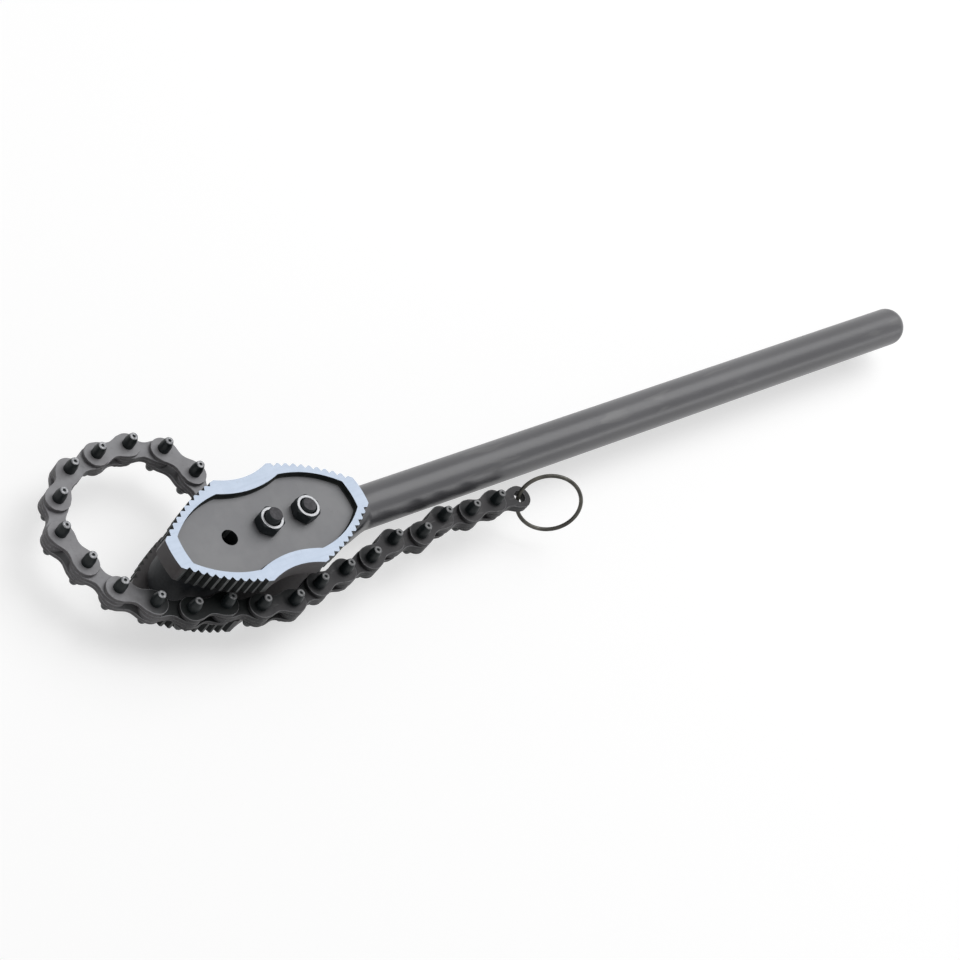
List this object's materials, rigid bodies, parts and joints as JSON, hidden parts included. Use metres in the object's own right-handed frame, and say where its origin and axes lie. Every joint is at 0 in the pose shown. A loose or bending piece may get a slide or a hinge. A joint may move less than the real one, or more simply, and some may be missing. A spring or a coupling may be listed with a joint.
{
  "type": "chain pipe wrench",
  "caption": "Chain pipe wrench: a forged bar handle bolted between toothed jaws, with a pin chain that wraps round a pipe and a ring at its loose end.",
  "frame": {"origin": "middle of the centre bolt head's outer face, where it meets the ground", "axes": "+X along the handle towards its end, +Z along the jaw bolts towards the nuts, +Y towards the side of the jaws that the chain leaves from"},
  "size_m": [0.9435, 0.1832, 0.0891],
  "materials": {
    "painted_grey": "grey forged steel, worn satin; the jaws' outer rims are machined bright",
    "dark_steel": "dark oiled steel bolts, nuts, spacers and shackle",
    "chain_steel": "grey steel chain plates and riveted pins, worn satin",
    "ring_wire": "plain steel wire, dull"
  },
  "bodies": {
    "wrench": {"forged_handle": "painted_grey", "front_jaw": "painted_grey", "rear_jaw": "painted_grey", "centre_bolt": "dark_steel", "outer_bolt": "dark_steel", "centre_nut": "dark_steel", "outer_nut": "dark_steel", "centre_spacer_front": "dark_steel", "centre_spacer_rear": "dark_steel", "outer_spacer_front": "dark_steel", "outer_spacer_rear": "dark_steel"},
    "shackle": {"shackle_plate_front": "dark_steel", "shackle_plate_rear": "dark_steel", "anchor_collar_front": "dark_steel", "anchor_collar_rear": "dark_steel", "anchor_pin": "chain_steel"},
    "link_00": {"inner_plate_00_front": "chain_steel", "inner_plate_00_rear": "chain_steel"},
    "link_01": {"outer_link_01": "chain_steel"},
    "link_02": {"inner_plate_02_front": "chain_steel", "inner_plate_02_rear": "chain_steel"},
    "link_03": {"outer_link_03": "chain_steel"},
    "link_04": {"inner_plate_04_front": "chain_steel", "inner_plate_04_rear": "chain_steel"},
    "link_05": {"outer_link_05": "chain_steel"},
    "link_06": {"inner_plate_06_front": "chain_steel", "inner_plate_06_rear": "chain_steel"},
    "link_07": {"outer_link_07": "chain_steel"},
    "link_08": {"inner_plate_08_front": "chain_steel", "inner_plate_08_rear": "chain_steel"},
    "link_09": {"outer_link_09": "chain_steel"},
    "link_10": {"inner_plate_10_front": "chain_steel", "inner_plate_10_rear": "chain_steel"},
    "link_11": {"outer_link_11": "chain_steel"},
    "link_12": {"inner_plate_12_front": "chain_steel", "inner_plate_12_rear": "chain_steel"},
    "link_13": {"outer_link_13": "chain_steel"},
    "link_14": {"inner_plate_14_front": "chain_steel", "inner_plate_14_rear": "chain_steel"},
    "link_15": {"outer_link_15": "chain_steel"},
    "link_16": {"inner_plate_16_front": "chain_steel", "inner_plate_16_rear": "chain_steel"},
    "link_17": {"outer_link_17": "chain_steel"},
    "link_18": {"inner_plate_18_front": "chain_steel", "inner_plate_18_rear": "chain_steel"},
    "link_19": {"outer_link_19": "chain_steel"},
    "link_20": {"inner_plate_20_front": "chain_steel", "inner_plate_20_rear": "chain_steel"},
    "link_21": {"outer_link_21": "chain_steel"},
    "link_22": {"inner_plate_22_front": "chain_steel", "inner_plate_22_rear": "chain_steel"},
    "ring": {"end_ring": "ring_wire"}
  },
  "joints": [
    {"name": "shackle_swing", "type": "hinge", "parent": "wrench", "child": "shackle", "pos_m": [0, 0, 0.0403], "axis": [0, 0, 1], "range_deg": [-3, 0]},
    {"name": "link_00_turn", "type": "hinge", "parent": "shackle", "child": "link_00", "pos_m": [-0.01203, 0.03815, 0.0403], "axis": [0, 0, 1], "range_deg": [-6, 0]},
    {"name": "link_01_turn", "type": "hinge", "parent": "link_00", "child": "link_01", "pos_m": [-0.01203, 0.06665, 0.0403], "axis": [0, 0, 1], "range_deg": [-6, 0]},
    {"name": "link_02_turn", "type": "hinge", "parent": "link_01", "child": "link_02", "pos_m": [-0.02541, 0.09181, 0.0403], "axis": [0, 0, 1], "range_deg": [-41, 0]},
    {"name": "link_03_turn", "type": "hinge", "parent": "link_02", "child": "link_03", "pos_m": [-0.05144, 0.1034, 0.0403], "axis": [0, 0, 1], "range_deg": [-27, 0]},
    {"name": "link_04_turn", "type": "hinge", "parent": "link_03", "child": "link_04", "pos_m": [-0.07994, 0.1034, 0.0403], "axis": [0, 0, 1], "range_deg": [-20, 0]},
    {"name": "link_05_turn", "type": "hinge", "parent": "link_04", "child": "link_05", "pos_m": [-0.10792, 0.09797, 0.0403], "axis": [0, 0, 1], "range_deg": [-34, 0]},
    {"name": "link_06_turn", "type": "hinge", "parent": "link_05", "child": "link_06", "pos_m": [-0.1291, 0.0789, 0.0403], "axis": [0, 0, 1], "range_deg": [-24, 0]},
    {"name": "link_07_turn", "type": "hinge", "parent": "link_06", "child": "link_07", "pos_m": [-0.14204, 0.0535, 0.0403], "axis": [0, 0, 1], "range_deg": [-43, 0]},
    {"name": "link_08_turn", "type": "hinge", "parent": "link_07", "child": "link_08", "pos_m": [-0.13563, 0.02573, 0.0403], "axis": [0, 0, 1], "range_deg": [-20, 0]},
    {"name": "link_09_turn", "type": "hinge", "parent": "link_08", "child": "link_09", "pos_m": [-0.12313, 0.00012, 0.0403], "axis": [0, 0, 1], "range_deg": [-25, 0]},
    {"name": "link_10_turn", "type": "hinge", "parent": "link_09", "child": "link_10", "pos_m": [-0.10195, -0.01894, 0.0403], "axis": [0, 0, 1], "range_deg": [-20, 0]},
    {"name": "link_11_turn", "type": "hinge", "parent": "link_10", "child": "link_11", "pos_m": [-0.07702, -0.03275, 0.0403], "axis": [0, 0, 1], "range_deg": [-22, 0]},
    {"name": "link_12_turn", "type": "hinge", "parent": "link_11", "child": "link_12", "pos_m": [-0.04895, -0.0377, 0.0403], "axis": [0, 0, 1], "range_deg": [-20, 0]},
    {"name": "link_13_turn", "type": "hinge", "parent": "link_12", "child": "link_13", "pos_m": [-0.02252, -0.04838, 0.0403], "axis": [0, 0, 1], "range_deg": [-20, 0]},
    {"name": "link_14_turn", "type": "hinge", "parent": "link_13", "child": "link_14", "pos_m": [0.00554, -0.05332, 0.0403], "axis": [0, 0, 1], "range_deg": [-24, 0]},
    {"name": "link_15_turn", "type": "hinge", "parent": "link_14", "child": "link_15", "pos_m": [0.03352, -0.04789, 0.0403], "axis": [0, 0, 1], "range_deg": [-20, 0]},
    {"name": "link_16_turn", "type": "hinge", "parent": "link_15", "child": "link_16", "pos_m": [0.06181, -0.04441, 0.0403], "axis": [0, 0, 1], "range_deg": [-20, 0]},
    {"name": "link_17_turn", "type": "hinge", "parent": "link_16", "child": "link_17", "pos_m": [0.09024, -0.04243, 0.0403], "axis": [0, 0, 1], "range_deg": [-20, 0]},
    {"name": "link_18_turn", "type": "hinge", "parent": "link_17", "child": "link_18", "pos_m": [0.11777, -0.03505, 0.0403], "axis": [0, 0, 1], "range_deg": [-20, 0]},
    {"name": "link_19_turn", "type": "hinge", "parent": "link_18", "child": "link_19", "pos_m": [0.14611, -0.03803, 0.0403], "axis": [0, 0, 1], "range_deg": [-23, 0]},
    {"name": "link_20_turn", "type": "hinge", "parent": "link_19", "child": "link_20", "pos_m": [0.17377, -0.03113, 0.0403], "axis": [0, 0, 1], "range_deg": [-20, 2]},
    {"name": "link_21_turn", "type": "hinge", "parent": "link_20", "child": "link_21", "pos_m": [0.20211, -0.03411, 0.0403], "axis": [0, 0, 1], "range_deg": [-20, 4]},
    {"name": "link_22_turn", "type": "hinge", "parent": "link_21", "child": "link_22", "pos_m": [0.23059, -0.03312, 0.0403], "axis": [0, 0, 1], "range_deg": [-27, 3]},
    {"name": "ring_swing", "type": "hinge", "parent": "link_22", "child": "ring", "pos_m": [0.25898, -0.0356, 0.0403], "axis": [0, 0.4226, 0.9063], "range_deg": [-112, 28]}
  ]
}
